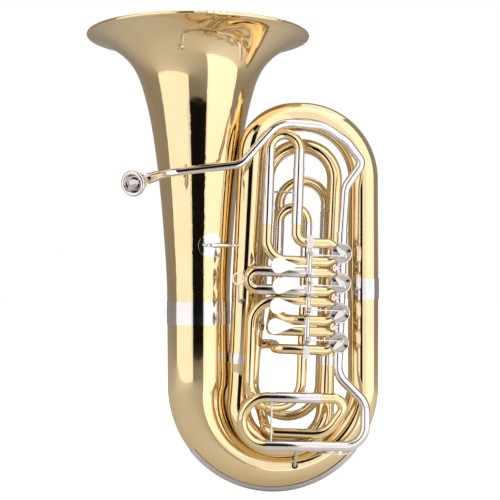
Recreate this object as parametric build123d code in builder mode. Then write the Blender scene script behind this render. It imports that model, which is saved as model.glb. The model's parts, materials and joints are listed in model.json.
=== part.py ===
from build123d import *
import os
from math import asin, cos, degrees, pi, radians, sin, sqrt

# A four-valve rotary tuba in B flat, standing upright with its bell up. Millimetres, +Z up.
# The origin is the lowest point of the bottom bow's guard plate. +X points from the bell to the
# valves, and the player's side, with the levers, faces -Y.

# ---------------------------------------------------------------- driving dimensions
# Bell and large bow
overall_height = 910.0
bell_rim_r = 221.0
rim_bead_r = 3.5
bell_wall = 0.9
bell_axis_x = -149.0
bell_foot_r = 62.5
bell_foot_z = 358.0
bell_foot_straight = 24.0
bow_outer_r = 210.7
bow_small_r = 30.5
bow_wall = 0.9
guard_thickness = 1.3
guard_depth = 14.0
guard_sweep = 52.0
bead_rise = 0.45
ferrule_wall = 0.9
solder_gap = 0.05

# Branches
branch_joint_z = 405.0
first_branch_top_z = 746.5
first_branch_end_r = 25.4
second_bow_end_r = 16.0
second_branch_end_r = 12.8
branch_wall = 0.8

# Cylindrical tubing and slides
tube_r = 10.0
tube_wall = 0.6
sleeve_wall = 0.6
slide_clearance = 0.05
socket_depth = 8.0

# Valve section: a line of four rotary valves that leans with its tubing
valve_tilt = 2.0
valve_origin = (126.4, -66.0, 390.0)
valve_spacing = 57.0
casing_r = 19.5
casing_bore_r = 17.0
casing_half_depth = 22.0
rotor_clearance = 0.05
rotor_half_depth = 19.0
port_offset = 17.8
port_angle = 40.0
spindle_r = 3.5
cap_thickness = 5.0
cap_rim_r = 19.4

# Linkage
crank_r = 7.2
crank_pin_r = 1.5
link_depth = -44.0
link_rod_r = 1.2
pivot_clearance = 0.05
stud_r = 1.4
stud_eye_r = 2.15
hinge_a = -61.2
hinge_d = -22.0
hinge_rod_r = 2.5
lever_arm = 22.0
lever_barrel_r = 4.0
paddle_r = 15.0
paddle_thickness = 2.4
paddle_taper = 40.0
paddle_neck_r = 2.1
paddle_rest_angle = 29.0

# Main tuning slide
main_tilt = 0.8
main_origin = (-15.0, -88.0, 154.0)
main_half_width = 45.9

# Mouthpiece and leadpipe
mouthpiece_rim_centre = Vector(-257.0, -216.0, 600.0)
mouthpiece_direction = Vector(0.40, 0.89, 0.22).normalized()
mouthpiece_rim_r = 22.8
leadpipe_start_r = 7.2
leadpipe_end_r = 9.3
receiver_start = 52.0
receiver_length = 42.0

os.makedirs("parts", exist_ok=True)


# ---------------------------------------------------------------- frames and helpers
def lean(origin, angle, a, d, h):
    """A point given along a leaning set of tubes: a to the right, d back, h up."""
    s = sin(radians(angle))
    c = cos(radians(angle))
    return Vector(origin[0] + a * c + h * s, origin[1] + d, origin[2] - a * s + h * c)


def at_valve(a, d, h):
    """A point in the valve section's leaning frame."""
    return lean(valve_origin, valve_tilt, a, d, h)


def at_main(a, d, h):
    """A point in the main tuning slide's frame."""
    return lean(main_origin, main_tilt, a, d, h)


valve_right = at_valve(1, 0, 0) - at_valve(0, 0, 0)
valve_up = at_valve(0, 0, 1) - at_valve(0, 0, 0)
main_right = at_main(1, 0, 0) - at_main(0, 0, 0)


def valve_face(a, d, h):
    """A plane across the valve axes, seen from the player's side: x to the right, y up."""
    return Plane(at_valve(a, d, h), x_dir=valve_right, z_dir=(0, -1, 0))


def valve_level(a, d, h):
    """A plane across the hinge rod: x to the right, y towards the back."""
    return Plane(at_valve(a, d, h), x_dir=valve_right, z_dir=valve_up)


def ring_plane(point, direction):
    """A plane across a tube, turned the same way all along it."""
    return Plane(point, x_dir=(0, 1, 0), z_dir=direction)


def straight_tube(start, end, outer_r, inner_r=0.0):
    """A straight round tube, or a rod where no inner radius is given."""
    axis = Vector(end) - Vector(start)
    with BuildSketch(Plane(start, z_dir=axis)) as ring:
        Circle(outer_r)
        if inner_r > 0:
            Circle(inner_r, mode=Mode.SUBTRACT)
    extrude(ring.sketch, amount=axis.length)


def cut_rod(start, end, radius):
    """Removes a round rod from the part being built."""
    axis = Vector(end) - Vector(start)
    with BuildSketch(Plane(start, z_dir=axis)) as disc:
        Circle(radius)
    extrude(disc.sketch, amount=axis.length, mode=Mode.SUBTRACT)


def bent_tube(points, bends, outer_r, wall):
    """A round tube of one size along straight runs joined by tangent arcs."""
    with BuildLine() as route:
        FilletPolyline(*points, radius=bends)
    path = route.wire()
    with BuildSketch(Plane(path @ 0, z_dir=path % 0)) as ring:
        Circle(outer_r)
        Circle(outer_r - wall, mode=Mode.SUBTRACT)
    sweep(sections=ring.sketch, path=path)


def tapered_tube(points, bends, start_r, end_r, wall, arc_steps=5):
    """A round tube that widens or narrows evenly along straight runs joined by tangent arcs."""
    with BuildLine() as route:
        if len(points) > 2:
            FilletPolyline(*points, radius=bends)
        else:
            Line(*points)
    path = route.wire()
    across = Vector(0, 1, 0)
    u_start = 0.0
    for edge in path.order_edges():
        u_end = u_start + edge.length / path.length
        steps = 1 if edge.geom_type == GeomType.LINE else arc_steps
        rings = []
        for i in range(steps + 1):
            u = min(1.0, u_start + (u_end - u_start) * i / steps)
            way = path % u
            across = (across - way * across.dot(way)).normalized()
            outer_r = start_r + (end_r - start_r) * u
            with BuildSketch(Plane(path @ u, x_dir=across, z_dir=way)) as ring:
                Circle(outer_r)
                Circle(outer_r - wall, mode=Mode.SUBTRACT)
            rings.append(ring.sketch)
        loft(sections=rings)
        u_start = u_end


def half_turn(start, centre, direction, axis_way, outer_r, wall):
    """Half a ring of tube that starts at a point, heads along direction and turns about centre."""
    with BuildSketch(Plane(start, z_dir=direction)) as ring:
        Circle(outer_r)
        Circle(outer_r - wall, mode=Mode.SUBTRACT)
    revolve(ring.sketch, axis=Axis(centre, axis_way), revolution_arc=180)


def save(name, builder):
    """Labels a finished piece and writes its file."""
    builder.part.label = name
    export_step(builder.part, f"parts/{name}.step")


# ---------------------------------------------------------------- bell
rim_flat = 0.2
bead_centre = (bell_rim_r - rim_bead_r, overall_height - rim_bead_r + rim_flat)
bell_length = overall_height - bell_foot_z
# Outside radius at each fraction of the bell's length
flare_sizes = [(0.232, 67.3), (0.409, 75.0), (0.583, 86.0), (0.699, 96.4), (0.786, 108.0), (0.875, 127.0),
               (0.935, 156.0), (0.975, 193.0)]
flare = [(bell_foot_r, bell_foot_z + bell_foot_straight)]
flare += [(size, bell_foot_z + fraction * bell_length) for fraction, size in flare_sizes]
flare += [(bell_rim_r - rim_bead_r, overall_height - 2 * rim_bead_r + bell_wall)]
bell_plane = Plane((bell_axis_x, 0, 0), x_dir=(1, 0, 0), z_dir=(0, -1, 0))
bell_steps = 16


def inside_point(u):
    """A point one wall in from the bell's outside curve."""
    way = bell_curve.line % u
    inward = Vector(-way.Y, way.X).normalized()
    return (bell_curve.line @ u) + inward * bell_wall


with BuildLine() as bell_curve:
    Spline(*flare, tangents=[(0, 1), (1, 0.12)])
with BuildPart() as bell:
    with BuildSketch(bell_plane) as wall_section:
        with BuildLine() as wall_line:
            Spline(*flare, tangents=[(0, 1), (1, 0.12)])
            Line((bell_foot_r, bell_foot_z), flare[0])
            Line((bell_foot_r, bell_foot_z), (bell_foot_r - bell_wall, bell_foot_z))
            Line((bell_foot_r - bell_wall, bell_foot_z), inside_point(0))
            Spline(*[inside_point(i / bell_steps) for i in range(bell_steps + 1)],
                   tangents=[(0, 1), (1, 0.12)])
            Line(inside_point(1), flare[-1])
        make_face()
        with Locations(bead_centre):
            Circle(rim_bead_r)
        with Locations((bell_rim_r, overall_height + rim_bead_r)):
            Rectangle(4 * rim_bead_r, 2 * rim_bead_r, mode=Mode.SUBTRACT)
    revolve(axis=Axis((bell_axis_x, 0, 0), (0, 0, 1)))
save("bell", bell)

# ---------------------------------------------------------------- large bottom bow and its guard
bow_centre_z = bow_outer_r + guard_thickness
bow_large_r = bow_outer_r + bell_axis_x
bow_stations = 16


def bow_point(u):
    """Centre, direction and radius of the bow's tube, u from the bell side to the branch side."""
    angle = pi * u
    tube = bow_large_r + (bow_small_r - bow_large_r) * u
    reach = bow_outer_r - tube
    point = Vector(-reach * cos(angle), 0, bow_centre_z - reach * sin(angle))
    return point, Vector(sin(angle), 0, -cos(angle)), tube


def bow_rings(first, last, count, outer_extra, inner_extra):
    """Ring sections across the bow between two fractions of its half turn."""
    rings = []
    for i in range(count + 1):
        point, direction, tube = bow_point(first + (last - first) * i / count)
        with BuildSketch(ring_plane(point, direction)) as ring:
            Circle(tube + outer_extra)
            Circle(tube + inner_extra, mode=Mode.SUBTRACT)
        rings.append(ring.sketch)
    return rings


bow_right_x = bow_outer_r - bow_small_r
with BuildPart() as bottom_bow:
    loft(sections=bow_rings(0, 1, bow_stations, 0, -bow_wall))
    leg_rings = []
    for z, leg_r in ((bell_foot_z, bell_foot_r), (bow_centre_z, bow_large_r)):
        with BuildSketch(Plane((bell_axis_x, 0, z), x_dir=(0, 1, 0), z_dir=(0, 0, -1))) as ring:
            Circle(leg_r)
            Circle(leg_r - bow_wall, mode=Mode.SUBTRACT)
        leg_rings.append(ring.sketch)
    loft(sections=leg_rings)
    straight_tube((bow_right_x, 0, bow_centre_z), (bow_right_x, 0, branch_joint_z), bow_small_r,
                  bow_small_r - bow_wall)
save("bottom_bow", bottom_bow)

guard_first = 0.5 - guard_sweep / 180
guard_last = 0.5 + guard_sweep / 180
with BuildPart() as bow_guard:
    loft(sections=bow_rings(guard_first, guard_last, 10, guard_thickness, solder_gap))
    with BuildSketch(Plane.XZ.offset(-bow_outer_r)) as keep_out:
        with Locations((0, bow_centre_z)):
            Circle(bow_outer_r - guard_depth)
    extrude(keep_out.sketch, amount=2 * bow_outer_r, mode=Mode.SUBTRACT)
save("bow_guard", bow_guard)


# ---------------------------------------------------------------- ferrules
def ferrule(centre, direction, joint_r, half_length):
    """A band over a joint, with a raised bead round its middle."""
    way = Vector(direction).normalized()
    inner_r = joint_r + solder_gap
    start = Vector(centre) - way * half_length
    end = Vector(centre) + way * half_length
    straight_tube(start, end, inner_r + ferrule_wall, inner_r)
    bead_half = 2.2
    straight_tube(Vector(centre) - way * bead_half, Vector(centre) + way * bead_half,
                  inner_r + ferrule_wall + bead_rise, inner_r)


with BuildPart() as bell_ferrule:
    ferrule((bell_axis_x, 0, bell_foot_z), (0, 0, 1), bell_foot_r, 23.0)
save("bell_ferrule", bell_ferrule)

with BuildPart() as branch_ferrule:
    ferrule((bow_right_x, 0, branch_joint_z), (0, 0, 1), bow_small_r, 20.5)
save("branch_ferrule", branch_ferrule)

# ---------------------------------------------------------------- first branch, second bow, second branch
first_branch_foot = Vector(-62.3, -21.2, 269.5)
first_branch_shoulder = Vector(-40.3, -41.0, 697.4)
first_leg = (first_branch_shoulder - first_branch_foot).normalized()
with BuildPart() as first_branch:
    tapered_tube(
        [(bow_right_x, 0, branch_joint_z), (bow_right_x, 0, first_branch_top_z),
         (6.0, -14.0, first_branch_top_z), first_branch_shoulder, first_branch_foot],
        [123.0, 90.0, 60.0], bow_small_r, first_branch_end_r, branch_wall)
save("first_branch", first_branch)

second_branch_foot = Vector(106.1, -12.0, 263.3)
second_branch_shoulder = Vector(124.9, -12.0, 689.2)
right_leg = (second_branch_shoulder - second_branch_foot).normalized()
with BuildPart() as second_bow:
    tapered_tube(
        [first_branch_foot, first_branch_foot - first_leg * 45.0, (-72.5, -54.0, 100.4),
         (98.8, -54.0, 100.4), second_branch_foot - right_leg * 48.0, second_branch_foot],
        [140.0, 78.0, 76.0, 110.0], first_branch_end_r, second_bow_end_r, branch_wall)
save("second_bow", second_bow)

return_joint = Vector(-31.1, 8.0, 330.0)
left_shoulder = Vector(-7.1, 7.0, 689.2)
return_leg = (left_shoulder - return_joint).normalized()
with BuildPart() as second_branch:
    tapered_tube([second_branch_foot, second_branch_shoulder, left_shoulder, return_joint],
                 [66.0, 66.0], second_bow_end_r, second_branch_end_r, branch_wall)
save("second_branch", second_branch)

with BuildPart() as branch_bands:
    ferrule(first_branch_foot, first_leg, first_branch_end_r + 0.3, 10.0)
    ferrule(second_branch_foot, right_leg, second_bow_end_r + 0.3, 9.0)
    ferrule(return_joint, return_leg, second_branch_end_r + 0.3, 8.0)
save("branch_bands", branch_bands)

# ---------------------------------------------------------------- main tuning slide
leg_clear_r = tube_r + slide_clearance
sleeve_r = leg_clear_r + sleeve_wall
main_sleeve_start = 18.0
main_sleeve_end = 105.0
main_leg_end = 88.0
main_legs = (main_half_width, -main_half_width)
with BuildPart() as main_slide_sleeves:
    for h in main_legs:
        straight_tube(at_main(main_sleeve_start, 0, h), at_main(main_sleeve_end, 0, h), sleeve_r,
                      leg_clear_r)
        straight_tube(at_main(main_sleeve_end - 3, 0, h), at_main(main_sleeve_end, 0, h),
                      sleeve_r + 0.8, leg_clear_r)
save("main_slide_sleeves", main_slide_sleeves)

with BuildPart() as main_slide_legs:
    for h in main_legs:
        straight_tube(at_main(0, 0, h), at_main(main_leg_end, 0, h), tube_r, tube_r - tube_wall)
        straight_tube(at_main(0, 0, h), at_main(4, 0, h), sleeve_r, tube_r - tube_wall)
    rod_end = main_half_width - sqrt(tube_r**2 - 2.2**2)
    straight_tube(at_main(10, 0, -rod_end), at_main(10, 0, rod_end), 2.2)
save("main_slide_legs", main_slide_legs)

with BuildPart() as main_slide_crook:
    half_turn(at_main(0, 0, main_half_width), at_main(0, 0, 0), -main_right, (0, -1, 0), tube_r, tube_wall)
save("main_slide_crook", main_slide_crook)

return_start = main_sleeve_end - socket_depth
return_cone = 70.0
with BuildPart() as return_branch:
    bent_tube(
        [at_main(return_start, 0, main_half_width), at_main(163, 0, main_half_width), (100, -84, 128),
         (-14, -76, 131), (-24, -30, 164), return_joint - return_leg * 128.0,
         return_joint - return_leg * return_cone],
        [19.0, 50.0, 26.0, 26.0, 30.0], tube_r, tube_wall)
    tapered_tube([return_joint - return_leg * return_cone, return_joint], 0, tube_r,
                 second_branch_end_r, tube_wall)
save("return_branch", return_branch)

# ---------------------------------------------------------------- valve heights
valve_heights = [valve_spacing * (1.5 - i) for i in range(4)]
line_a = 2.0
line_r = 10.5
line_wall = 0.8

# From the fourth valve down and round to the lower leg of the main slide
outlet_top = valve_heights[3] - casing_r - 14.0
with BuildPart() as valve_outlet:
    bent_tube([at_valve(line_a, 0, outlet_top + socket_depth), at_valve(line_a, 0, outlet_top - 31.0), (175.4, -82, 187.9),
               at_main(190, 0, -main_half_width), at_main(return_start, 0, -main_half_width)],
              [42.0, 38.0, 40.0], line_r - line_wall - solder_gap, tube_wall)
save("valve_outlet", valve_outlet)

# ---------------------------------------------------------------- leadpipe, receiver and mouthpiece
receiver_end = mouthpiece_rim_centre + mouthpiece_direction * (receiver_start + receiver_length)
inlet_top = valve_heights[0] + casing_r + 21.0
leadpipe_foot = at_valve(line_a, 0, inlet_top - socket_depth)
with BuildPart() as leadpipe:
    tapered_tube(
        [receiver_end - mouthpiece_direction * 12.0, receiver_end + mouthpiece_direction * 34.0,
         (-63, -98, 645), (9.7, -88, 726.7), (92.6, -84, 719.8), (139.2, -78, 691.3),
         (171.5, -70, 650.2), (139.0, -66, 604.0), leadpipe_foot],
        [50.0, 34.0, 50.0, 70.0, 60.0, 17.0, 36.0], leadpipe_start_r, leadpipe_end_r, 0.7)
save("leadpipe", leadpipe)

# Turned pieces lie along this plane's x axis, from the rim towards the receiver
turning_plane = Plane(mouthpiece_rim_centre, x_dir=mouthpiece_direction,
                      z_dir=mouthpiece_direction.cross(Vector(0, 0, 1)))
turning_axis = Axis(mouthpiece_rim_centre, mouthpiece_direction)
shank_mouth_r = 7.1
shank_tip_r = 6.6
shank_tip = receiver_start + 26.0
with BuildPart() as mouthpiece:
    with BuildSketch(turning_plane) as profile:
        with BuildLine() as outline:
            Polyline((2.0, 16.2), (4.0, 16.0))
            Spline((4.0, 16.0), (20.0, 13.0), (31.0, 5.0), (35.0, 3.9), tangents=[(1, 0), (1, 0)])
            Line((35.0, 3.9), (shank_tip, 5.2))
            Line((shank_tip, 5.2), (shank_tip, shank_tip_r))
            Line((shank_tip, shank_tip_r), (receiver_start - 2, shank_mouth_r))
            Spline((receiver_start - 2, shank_mouth_r), (42.0, 7.0), (34.0, 12.5), (22.0, 17.0),
                   (8.0, 18.6), tangents=[(-1, 0), (-1, 0)])
            Line((8.0, 18.6), (6.5, mouthpiece_rim_r))
            ThreePointArc((6.5, mouthpiece_rim_r), (0.0, 20.0), (2.0, 16.2))
        make_face()
    revolve(axis=turning_axis)
save("mouthpiece", mouthpiece)

receiver_taper = (shank_mouth_r - shank_tip_r) / (shank_tip - receiver_start)
receiver_bore_r = shank_mouth_r + slide_clearance
with BuildPart() as mouthpiece_receiver:
    with BuildSketch(turning_plane) as profile:
        with BuildLine() as outline:
            x_in = receiver_start
            x_shank = receiver_start + 27.0
            x_out = receiver_start + receiver_length
            r_deep = receiver_bore_r - receiver_taper * 27.0
            Polyline((x_in, receiver_bore_r), (x_shank, r_deep), (x_shank, leadpipe_start_r + solder_gap),
                     (x_out, leadpipe_start_r + 1.0), (x_out, 9.3), (x_in + 3, 10.0), (x_in + 3, 10.8),
                     (x_in, 10.8), close=True)
        make_face()
    revolve(axis=turning_axis)
save("mouthpiece_receiver", mouthpiece_receiver)

# ---------------------------------------------------------------- valves
rotor_r = casing_bore_r - rotor_clearance
port_start = (casing_r - 9.0)
port_bend_a = port_offset / sin(radians(port_angle)) * cos(radians(port_angle))
port_bend_r = 18.0
cork_angle = 23.6
cork_circle = 13.5
cork_r = 2.6
swing_side = [1, 1, -1, -1]


def port_points(height, side):
    """Start and bend of a valve's slide port: side 1 is its upper port and -1 its lower one."""
    s = side * sin(radians(port_angle))
    c = cos(radians(port_angle))
    start = at_valve(-port_start * c, 0, height + port_start * s)
    bend = at_valve(-port_bend_a, 0, height + side * port_offset)
    return start, bend


for number, height in enumerate(valve_heights, start=1):
    front = valve_face(0, casing_half_depth, height)
    with BuildPart() as casing:
        with BuildSketch(front) as ring:
            Circle(casing_r)
            Circle(casing_bore_r, mode=Mode.SUBTRACT)
        extrude(ring.sketch, amount=2 * casing_half_depth)
        cut_rod(at_valve(line_a, 0, height - 2 * casing_r), at_valve(line_a, 0, height + 2 * casing_r),
                line_r + solder_gap)
        for side in (1, -1):
            start, bend = port_points(height, side)
            cut_rod(start, bend, tube_r + solder_gap)
    save(f"valve_casing_{number}", casing)

    with BuildPart() as rotor:
        straight_tube(at_valve(0, rotor_half_depth, height), at_valve(0, -rotor_half_depth, height), rotor_r)
        straight_tube(at_valve(0, -rotor_half_depth, height), at_valve(0, link_depth + 4, height), spindle_r)
        straight_tube(at_valve(0, rotor_half_depth, height),
                      at_valve(0, casing_half_depth + cap_thickness, height), spindle_r)
        cut_rod(at_valve(line_a, 0, height - casing_r), at_valve(line_a, 0, height + casing_r),
                line_r - line_wall)
        cut_rod(at_valve(-casing_bore_r + 1, 0, height - casing_r),
                at_valve(-casing_bore_r + 1, 0, height + casing_r), 5.0)
    save(f"rotor_{number}", rotor)

    # The crank points down to the right at rest on the upper two valves, and up to the right below
    swing = swing_side[number - 1]
    pin_a = crank_r * cos(radians(45))
    pin_h = -swing * pin_a
    arm_front = link_depth + 3.0
    arm_back = arm_front + 4.0
    with BuildPart() as stop_arm:
        with BuildSketch(valve_face(0, arm_back, height)) as arm_plate:
            with BuildSketch(Plane.XY, mode=Mode.PRIVATE) as pads:
                Circle(5.6)
                with Locations((pin_a, pin_h)):
                    Circle(3.6)
                with Locations((-cork_circle * 0.7071, swing * cork_circle * 0.7071)):
                    Circle(2.5)
            add(make_hull(pads.sketch.edges(), mode=Mode.PRIVATE))
            Circle(spindle_r, mode=Mode.SUBTRACT)
        extrude(arm_plate.sketch, amount=4.0)
        lug = (-cork_circle * 0.7071, swing * cork_circle * 0.7071)
        straight_tube(at_valve(lug[0], arm_back - 0.5, height + lug[1]),
                      at_valve(lug[0], -casing_half_depth - cap_thickness - 2.2, height + lug[1]), 2.4)
        straight_tube(at_valve(pin_a, arm_front, height + pin_h),
                      at_valve(pin_a, link_depth - 3.0, height + pin_h), crank_pin_r)
        straight_tube(at_valve(pin_a, link_depth - 3.0, height + pin_h),
                      at_valve(pin_a, link_depth - 4.6, height + pin_h), crank_pin_r + 1.1)
        straight_tube(at_valve(0, arm_front + 0.05, height), at_valve(0, arm_front - 1.2, height), 4.6)
        cut_rod(at_valve(0, arm_front - 0.6, height), at_valve(0, arm_front - 3.0, height), 1.4)
    save(f"stop_arm_{number}", stop_arm)

cap_face = -casing_half_depth - cap_thickness
with BuildPart() as valve_caps:
    for height in valve_heights:
        with BuildSketch(valve_face(0, -casing_half_depth, height)) as front_cap:
            Circle(cap_rim_r)
            Circle(spindle_r + pivot_clearance, mode=Mode.SUBTRACT)
        extrude(front_cap.sketch, amount=cap_thickness)
        with BuildSketch(valve_face(0, -casing_half_depth - cap_thickness + 1.5, height)) as recess:
            Circle(cap_rim_r - 2.6)
            Circle(cork_circle + 3.0, mode=Mode.SUBTRACT)
        extrude(recess.sketch, amount=3.0, mode=Mode.SUBTRACT)
        with BuildSketch(valve_face(0, casing_half_depth + cap_thickness + 1.0, height)) as back_cap:
            Circle(cap_rim_r)
        extrude(back_cap.sketch, amount=cap_thickness + 1.0)
        cut_rod(at_valve(0, casing_half_depth - 1, height),
                at_valve(0, casing_half_depth + cap_thickness + 0.1, height), spindle_r + pivot_clearance)
        with BuildSketch(valve_face(0, cap_face, height)) as stop_plate:
            Circle(cork_circle + 2.9)
            Circle(cork_circle - 5.0, mode=Mode.SUBTRACT)
        extrude(stop_plate.sketch, amount=1.5)
save("valve_caps", valve_caps)

with BuildPart() as stop_corks:
    for height, swing in zip(valve_heights, swing_side):
        for angle in (135 + cork_angle, 45 - cork_angle):
            a = cork_circle * cos(radians(angle))
            h = height + swing * cork_circle * sin(radians(angle))
            straight_tube(at_valve(a, cap_face - 1.5, h), at_valve(a, cap_face - 7.5, h), cork_r)
save("stop_corks", stop_corks)

# ---------------------------------------------------------------- knuckles on the valves' own line
with BuildPart() as knuckles:
    straight_tube(at_valve(line_a, 0, valve_heights[0]), at_valve(line_a, 0, inlet_top), line_r,
                  line_r - line_wall)
    straight_tube(at_valve(line_a, 0, inlet_top - 4), at_valve(line_a, 0, inlet_top), line_r + 0.8,
                  line_r - line_wall)
    straight_tube(at_valve(line_a, 0, valve_heights[3]), at_valve(line_a, 0, outlet_top), line_r,
                  line_r - line_wall)
    for upper, lower in zip(valve_heights, valve_heights[1:]):
        straight_tube(at_valve(line_a, 0, upper), at_valve(line_a, 0, lower), line_r, line_r - line_wall)
        middle = (upper + lower) / 2
        straight_tube(at_valve(-8.0, -8.0, middle), at_valve(-8.0, -19.0, middle), 4.2)
        cut_rod(at_valve(line_a, 0, middle - 5.5), at_valve(line_a, 0, middle + 5.5), line_r - line_wall)
    for height in valve_heights:
        cut_rod(at_valve(0, casing_half_depth, height), at_valve(0, -casing_half_depth, height),
                casing_bore_r)
        for side in (1, -1):
            start, bend = port_points(height, side)
            cut_rod(start, bend, tube_r + solder_gap)
save("knuckles", knuckles)

# ---------------------------------------------------------------- valve slides
first_leg_a = -144.0
first_leg_b = -86.4
first_sleeve = (valve_heights[0] + 52.5, valve_heights[0] + 162.5)
first_crook_h = first_sleeve[1] + 35.0
second_end_a = -158.8
second_sleeve = (-150.0, -48.0)
third_leg_a = -121.0
third_leg_b = -66.0
third_depth = 24.0
third_sleeve = (35.0, 136.0)
third_crook_h = 143.0
third_loop_a = -167.5
third_loop_h = -168.0
fourth_leg_a = -118.5
fourth_leg_b = -24.5
fourth_depth = 98.0
fourth_sleeve = (60.0, 168.0)
fourth_crook_h = 182.0
fourth_back_a = -128.5
fourth_front_a = -120.0
fourth_loop_a = -157.5
fourth_loop_h = -182.0


def valve_tube(points, bends):
    """Slide tubing in the valve section's frame, each point given as a, d, h."""
    bent_tube([p if isinstance(p, Vector) else at_valve(*p) for p in points], bends, tube_r, tube_wall)


def trim_at(height):
    """Cuts tubing back to the wall of a valve's bore."""
    cut_rod(at_valve(0, casing_half_depth, height), at_valve(0, -casing_half_depth, height), casing_bore_r)


upper_1, upper_bend_1 = port_points(valve_heights[0], 1)
lower_1, lower_bend_1 = port_points(valve_heights[0], -1)
with BuildPart() as valve_1_tubing:
    valve_tube([upper_1, upper_bend_1, (first_leg_b, 0, valve_heights[0] + port_offset),
                (first_leg_b, 0, first_sleeve[0] + socket_depth)], [port_bend_r, 20.0])
    valve_tube([lower_1, lower_bend_1, (first_leg_a, 0, valve_heights[0] - port_offset),
                (first_leg_a, 0, first_sleeve[0] + socket_depth)], [port_bend_r, 40.0])
    trim_at(valve_heights[0])
save("valve_1_tubing", valve_1_tubing)

upper_2, upper_bend_2 = port_points(valve_heights[1], 1)
lower_2, lower_bend_2 = port_points(valve_heights[1], -1)
with BuildPart() as valve_2_tubing:
    for side, start, bend in ((1, upper_2, upper_bend_2), (-1, lower_2, lower_bend_2)):
        end_a = second_sleeve[1] - socket_depth
        valve_tube([start, bend, (end_a, 0, valve_heights[1] + side * port_offset)], [port_bend_r])
    trim_at(valve_heights[1])
save("valve_2_tubing", valve_2_tubing)

upper_3, upper_bend_3 = port_points(valve_heights[2], 1)
lower_3, lower_bend_3 = port_points(valve_heights[2], -1)
with BuildPart() as valve_3_tubing:
    valve_tube([upper_3, upper_bend_3, (third_loop_a, 0, valve_heights[2] + port_offset),
                (third_loop_a, 0, third_loop_h - 50.0), (third_leg_b, third_depth, third_loop_h - 50.0),
                (third_leg_b, third_depth, third_sleeve[0] + socket_depth)],
               [port_bend_r, 46.0, 50.0, 50.0])
    valve_tube([lower_3, lower_bend_3, (third_leg_a + 43, 0, valve_heights[2] - port_offset),
                (third_leg_a, third_depth, valve_heights[2] - port_offset),
                (third_leg_a, third_depth, third_sleeve[0] + socket_depth)],
               [port_bend_r, 50.0, 30.0])
    trim_at(valve_heights[2])
save("valve_3_tubing", valve_3_tubing)

upper_4, upper_bend_4 = port_points(valve_heights[3], 1)
lower_4, lower_bend_4 = port_points(valve_heights[3], -1)
fourth_upper_h = valve_heights[3] + port_offset
fourth_lower_h = valve_heights[3] - port_offset
loop_r = (fourth_leg_b - fourth_loop_a) / 2
with BuildPart() as valve_4_tubing:
    valve_tube([upper_4, upper_bend_4, (fourth_back_a, 0, fourth_upper_h),
                (fourth_back_a, fourth_depth, fourth_upper_h), (fourth_leg_a, fourth_depth, -10.0),
                (fourth_leg_a, fourth_depth, fourth_sleeve[0] + socket_depth)],
               [port_bend_r, 20.0, 20.0, 60.0])
    valve_tube([lower_4, lower_bend_4, (fourth_front_a, 0, fourth_lower_h),
                (fourth_front_a, fourth_depth, fourth_lower_h),
                (fourth_loop_a, fourth_depth, fourth_lower_h),
                (fourth_loop_a, fourth_depth, fourth_loop_h - loop_r),
                (fourth_leg_b, fourth_depth, fourth_loop_h - loop_r),
                (fourth_leg_b, fourth_depth, fourth_sleeve[0] + socket_depth)],
               [port_bend_r, 20.0, 18.0, 18.0, loop_r - 0.5, loop_r - 0.5])
    trim_at(valve_heights[3])
save("valve_4_tubing", valve_4_tubing)

# Each slide: its two leg lines, as (a, d) or height, then where sleeve, crook and legs lie
second_h = (valve_heights[1] + port_offset, valve_heights[1] - port_offset)
upright_slides = {
    1: (first_leg_a, first_leg_b, 0.0, first_sleeve, first_crook_h),
    3: (third_leg_a, third_leg_b, third_depth, third_sleeve, third_crook_h),
    4: (fourth_leg_a, fourth_leg_b, fourth_depth, fourth_sleeve, fourth_crook_h),
}
leg_margin = 2.0
joint_band = 4.0
with BuildPart() as valve_slide_sleeves:
    for leg_a, leg_b, depth, sleeve, crook_h in upright_slides.values():
        for a in (leg_a, leg_b):
            straight_tube(at_valve(a, depth, sleeve[0]), at_valve(a, depth, sleeve[1]), sleeve_r,
                          leg_clear_r)
            straight_tube(at_valve(a, depth, sleeve[1] - 3), at_valve(a, depth, sleeve[1]),
                          sleeve_r + 0.7, leg_clear_r)
    rod_h = sum(first_sleeve) / 2 + 7.0
    straight_tube(at_valve(first_leg_a + sleeve_r - 0.2, 0, rod_h),
                  at_valve(first_leg_b - sleeve_r + 0.2, 0, rod_h), 2.0)
    for h in second_h:
        straight_tube(at_valve(second_sleeve[0], 0, h), at_valve(second_sleeve[1], 0, h), sleeve_r,
                      leg_clear_r)
        straight_tube(at_valve(second_sleeve[0], 0, h), at_valve(second_sleeve[0] + 3, 0, h),
                      sleeve_r + 0.7, leg_clear_r)
save("valve_slide_sleeves", valve_slide_sleeves)

for number, (leg_a, leg_b, depth, sleeve, crook_h) in upright_slides.items():
    leg_low = sleeve[0] + socket_depth + leg_margin
    half_width = (leg_b - leg_a) / 2
    with BuildPart() as legs:
        for a in (leg_a, leg_b):
            straight_tube(at_valve(a, depth, leg_low), at_valve(a, depth, crook_h), tube_r,
                          tube_r - tube_wall)
            straight_tube(at_valve(a, depth, crook_h - joint_band), at_valve(a, depth, crook_h),
                          sleeve_r, tube_r - tube_wall)
    save(f"valve_{number}_slide_legs", legs)
    with BuildPart() as crook:
        middle = at_valve(leg_a + half_width, depth, crook_h)
        half_turn(at_valve(leg_a, depth, crook_h), middle, valve_up, (0, 1, 0), tube_r, tube_wall)
    save(f"valve_{number}_crook", crook)

with BuildPart() as valve_2_slide_legs:
    for h in second_h:
        straight_tube(at_valve(second_end_a, 0, h),
                      at_valve(second_sleeve[1] - socket_depth - leg_margin, 0, h), tube_r,
                      tube_r - tube_wall)
save("valve_2_slide_legs", valve_2_slide_legs)

with BuildPart() as valve_2_crook:
    half_turn(at_valve(second_end_a, 0, second_h[0]), at_valve(second_end_a, 0, valve_heights[1]),
              -valve_right, (0, -1, 0), tube_r, tube_wall)
save("valve_2_crook", valve_2_crook)

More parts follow.
